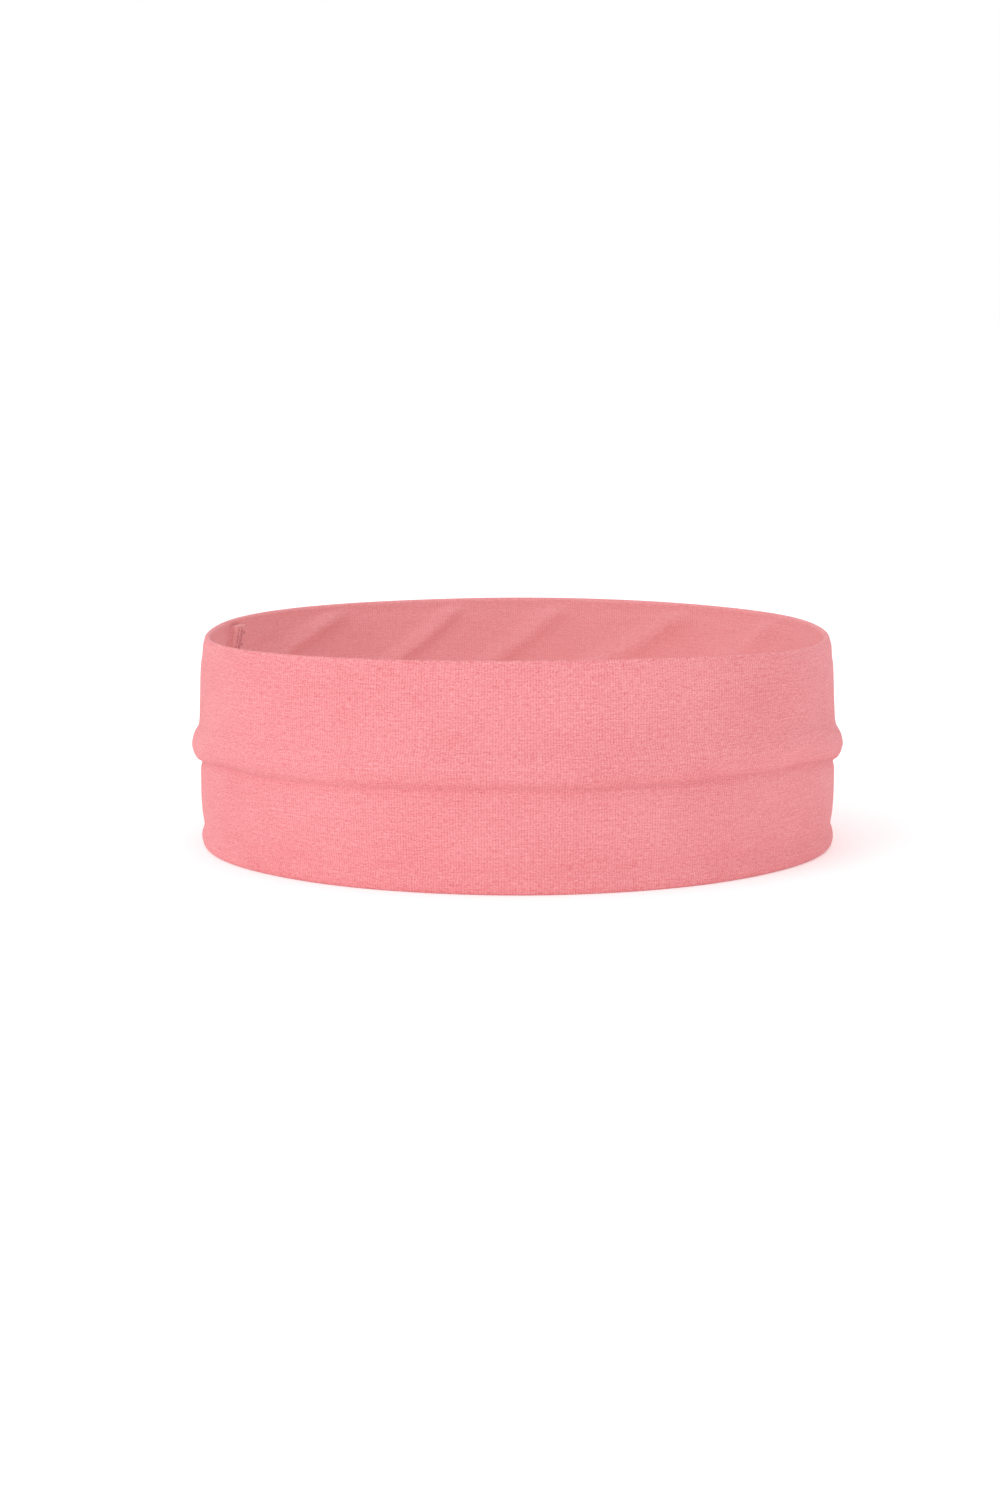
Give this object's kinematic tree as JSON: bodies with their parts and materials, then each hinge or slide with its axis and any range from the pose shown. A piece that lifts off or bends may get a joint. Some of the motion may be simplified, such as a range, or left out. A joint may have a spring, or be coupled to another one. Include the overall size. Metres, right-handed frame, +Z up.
{
  "type": "sports headband",
  "caption": "Wide folded jersey headband, an open stretch ring with a long seam hidden between its layers and an overlocked cross seam inside.",
  "frame": {"origin": "middle of the ring, on the surface it stands on", "axes": "+Z up through the ring, front of the ring towards -Y, +X towards the right of a viewer in front of it"},
  "size_m": [0.167, 0.167, 0.054],
  "materials": {
    "jersey": "soft matt single jersey, fine upright wales, light fuzz",
    "needle_thread": "spun polyester sewing thread",
    "looper_thread": "soft textured overlock thread"
  },
  "bodies": {
    "root": {"outer_layer": "jersey", "inner_layer_upper": "jersey", "inner_layer_lower": "jersey", "long_seam_allowance": "jersey", "long_seam_left_needle_thread": "needle_thread", "long_seam_right_needle_thread": "needle_thread", "long_seam_upper_looper_thread": "looper_thread", "long_seam_lower_looper_thread": "looper_thread", "cross_seam_allowance": "jersey", "cross_seam_left_needle_thread": "needle_thread", "cross_seam_right_needle_thread": "needle_thread", "cross_seam_upper_looper_thread": "looper_thread", "cross_seam_lower_looper_thread": "looper_thread"}
  },
  "joints": []
}
